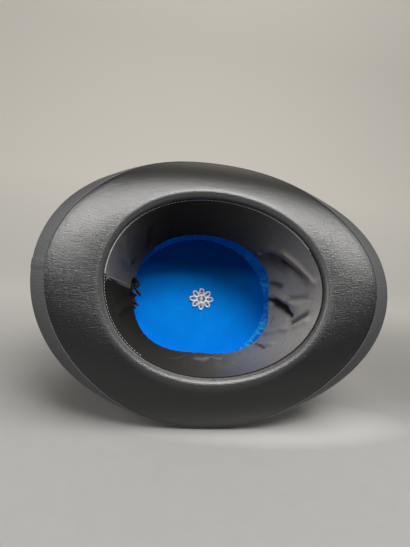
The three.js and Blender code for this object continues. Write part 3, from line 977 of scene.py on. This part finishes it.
def thread_parts():
    """Two loose pale threads at the head opening, and the line of the lining's back seam."""
    mouth = lining_point(np.array([180 * DEGREE]), 0.02)[0] + np.array([0.9, 0, 0])
    first = mouth + np.array([(0, -5.0, 0.2), (0.8, -3.2, -0.6), (0.3, -1.2, 0.4),
                              (1.0, 1.2, 0), (0.2, 3.2, 0.6)])
    second = mouth + np.array([(1.0, 0.4, 2), (2.0, 0.0, 6), (2.6, 0.6, 10), (3.0, 0.2, 14)])
    threads = [swept(smooth_route(knots, 18), 0.5, 0.4, np.array([1.0, 0.2, 0.1]), sides=6)
               for knots in (first, second)]
    # The back seam runs from the head opening to the bow.
    shares = np.linspace(0.04, 0.9, 30)
    phi = (181 + 5.5 * shares) * DEGREE
    seam = lining_point(phi, shares, np.full_like(phi, -0.35))
    threads.append(swept(seam, 0.8, 0.5, np.array([1.0, 0.1, 0.1]), sides=6))
    return threads


# The pieces

ribbed = ribbon()
AROUND = 288                  # points round the hat in a piece without gathers

ring_piece("brim_satin", brim_section, AROUND, brim_satin(), ["brim"])
ring_piece("edge_ribbon", binding_section, 2 * AROUND, ribbed, ["brim_binding"])
ring_piece("crown_wall", crown_section, AROUND,
           black_silk("crown_silk", "around", True), ["crown_side"])
disc_piece("crown_top", crown_tip_rows(), AROUND,
           black_silk("tip_silk", "plan", False), ["crown_tip"])
ring_piece("crown_ribbon", band_section, 2 * AROUND, ribbed, ["hat_band"])
ring_piece("side_lining_cloth", side_lining_section, 432, lining_satin(),
           ["side_lining"], lining_painted_light)
ring_piece("gathered_band", lining_band_section, 720,
           blue_satin("gathered_blue_satin", "around", 0.25, 3.0), ["lining_band"], band_painted_light)
disc_piece("tip_lining_cloth", tip_lining_rows(), AROUND,
           blue_satin("tip_blue_satin", "plan", 0.5, 0.1), ["tip_lining"])


def small_piece(name, parts, material, replaces=()):
    points, faces = gathered(parts)
    return mesh_piece(name, points, faces, {}, material, replaces)


small_piece("rosette", emblem_parts(), silver(), ["emblem"])
small_piece("drawstring_bow", bow_parts(),
            thread("bow_tape", grey(0.002), 0.0), ["lining_bow"])
small_piece("seam_stitches", stitch_parts(),
            thread("stitch_thread", (0.50, 0.49, 0.47, 1)))
small_piece("edge_stitches", edge_stitch_parts(),
            thread("edge_thread", grey(0.16)))
small_piece("frayed_end", frayed_parts(),
            thread("brown_thread", (0.02, 0.012, 0.01, 1), 0.05))
small_piece("loose_threads", thread_parts(),
            thread("pale_thread", (0.34, 0.31, 0.27, 1)))


# Floor, light and camera


def backdrop():
    """A pale floor that curves up into a wall behind the hat. Light and shade are painted into its paper:
    shade beside and behind the hat and on the right, and light before the hat, where it bends up and on the
    wall."""
    look = Finish("backdrop_paper")
    look.set(Roughness=0.9)
    place = look.node("ShaderNodeTexCoord").outputs["Object"]
    grain = look.noise(place, 60.0, 3.0)
    paper = look.mix(grain, (0.235, 0.234, 0.228, 1), (0.255, 0.254, 0.248, 1))
    across, back, height = look.split(place)
    # Painted shade on the floor beside and behind the hat.
    paper = look.mix(look.between(back, -0.09, -0.01), paper, (0.215, 0.21, 0.20, 1))
    # Painted light further back, where the floor begins to bend up.
    paper = look.mix(look.between(back, 0.05, 0.26), paper, (0.33, 0.322, 0.30, 1))
    # A paler oval of painted light right before the hat: its middle and its half length and width, in
    # metres.
    light_pool_x, light_pool_y, light_pool_length, light_pool_width = 0.06, -0.068, 0.12, 0.032
    x = look.math("DIVIDE", look.math("SUBTRACT", across, light_pool_x), light_pool_length)
    y = look.math("DIVIDE", look.math("SUBTRACT", back, light_pool_y), light_pool_width)
    reach = look.math("ADD", look.math("MULTIPLY", x, x), look.math("MULTIPLY", y, y))
    paper = look.mix(look.between(reach, 1.8, 0.0, 0.0, 0.6), paper, (0.46, 0.455, 0.445, 1))
    # A painted shadow on the floor on the right.
    right = look.math("MULTIPLY", look.between(across, 0.10, 0.25), look.between(back, -0.08, -0.02))
    right = look.math("MULTIPLY", right, look.between(back, 0.30, 0.14, 0.0, 0.4))
    paper = look.mix(right, paper, (0.12, 0.117, 0.11, 1))
    # Painted light: the wall is paler than the floor.
    wall = (0.40, 0.38, 0.345, 1)
    look.link(look.mix(look.between(height, 0.0, 0.16), paper, wall), "Base Color")
    wide, near, bend_at, bend_radius, high = 3.0, -1.6, 0.4, 0.6, 3.0
    profile = [(near, 0.0), (bend_at, 0.0)]
    profile += [(bend_at + bend_radius * math.sin(a), bend_radius * (1 - math.cos(a)))
                for a in np.linspace(0, 90, 25)[1:] * DEGREE]
    profile.append((bend_at + bend_radius, high))
    points = [(x, y, z) for y, z in profile for x in (-wide, wide)]
    faces = [(2 * n, 2 * n + 1, 2 * n + 3, 2 * n + 2) for n in range(len(profile) - 1)]
    mesh = bpy.data.meshes.new("backdrop")
    mesh.from_pydata(points, [], faces)
    mesh.polygons.foreach_set("use_smooth", [True] * len(mesh.polygons))
    mesh.materials.append(look.material)
    piece = bpy.data.objects.new("backdrop", mesh)
    bpy.context.scene.collection.objects.link(piece)


def softbox(name, place, aim, size, power, colour):
    light = bpy.data.lights.new(name, "AREA")
    light.shape = "RECTANGLE"
    light.size, light.size_y = size
    light.energy = power
    light.color = colour
    lamp = bpy.data.objects.new(name, light)
    bpy.context.scene.collection.objects.link(lamp)
    away = np.array(place) - np.array(aim)
    z = away / np.linalg.norm(away)
    x = np.cross([0, 0, 1.0], z)
    x /= np.linalg.norm(x)
    basis = np.eye(4)
    basis[:3, 0], basis[:3, 1], basis[:3, 2], basis[:3, 3] = x, np.cross(z, x), z, place
    lamp.matrix_world = Matrix(basis.tolist())


def camera():
    """The photo's view. The camera's place and turns are in the hat's frame, seen up the -y axis."""
    right_of_axis, above_axis, before_opening = -59.0, -51.8, 365.3
    yaw, pitch, roll = 7.48 * DEGREE, 9.54 * DEGREE, -3.05 * DEGREE
    focal_pixels, frame_height = 411.0, 547

    def turned(angle, first, second):
        """A turn by an angle from one axis towards another."""
        turn = np.eye(3)
        turn[[first, second], [first, second]] = math.cos(angle)
        turn[second, first], turn[first, second] = math.sin(angle), -math.sin(angle)
        return turn

    rows = turned(roll, 0, 1) @ turned(pitch, 1, 2) @ turned(yaw, 0, 2)
    flip = np.array([1, -1, 1])
    right, up, forward = (TO_WORLD @ (row * flip) for row in rows)
    basis = np.eye(4)
    basis[:3, 0], basis[:3, 1], basis[:3, 2] = right, up, -forward
    basis[:3, 3] = world([right_of_axis, -above_axis, -before_opening])
    data = bpy.data.cameras.new("camera")
    data.sensor_width = 36.0
    data.lens = focal_pixels * data.sensor_width / frame_height
    data.clip_start = 0.01
    view = bpy.data.objects.new("camera", data)
    bpy.context.scene.collection.objects.link(view)
    view.matrix_world = Matrix(basis.tolist())
    bpy.context.scene.camera = view


def surroundings():
    sky = bpy.data.worlds.new("studio")
    sky.use_nodes = True
    background = sky.node_tree.nodes["Background"]
    background.inputs["Color"].default_value = (0.95, 0.97, 1.0, 1)
    background.inputs["Strength"].default_value = 0.21
    bpy.context.scene.world = sky
    middle = np.array([0.0, 0.0, 0.12])
    warm = (1.0, 0.985, 0.965)
    # name, distance, elevation, azimuth, size, power
    boxes = (
        ("overhead", 1.6, 71, 19, (1.1, 0.9), 30),
        ("key", 1.7, 54, 16, (0.6, 0.40), 15),
        ("right", 1.8, 32, 85, (1.0, 1.0), 2),
        ("left", 1.8, 33, -58, (0.8, 0.8), 11),
    )
    for name, distance, elevation, azimuth, size, power in boxes:
        level = math.cos(elevation * DEGREE)
        across, back = math.sin(azimuth * DEGREE), math.cos(azimuth * DEGREE)
        direction = np.array([level * across, -level * back, math.sin(elevation * DEGREE)])
        softbox(name, middle + distance * direction, middle, size, power, warm)
    bpy.context.scene.view_settings.view_transform = "Standard"


backdrop()
surroundings()
camera()
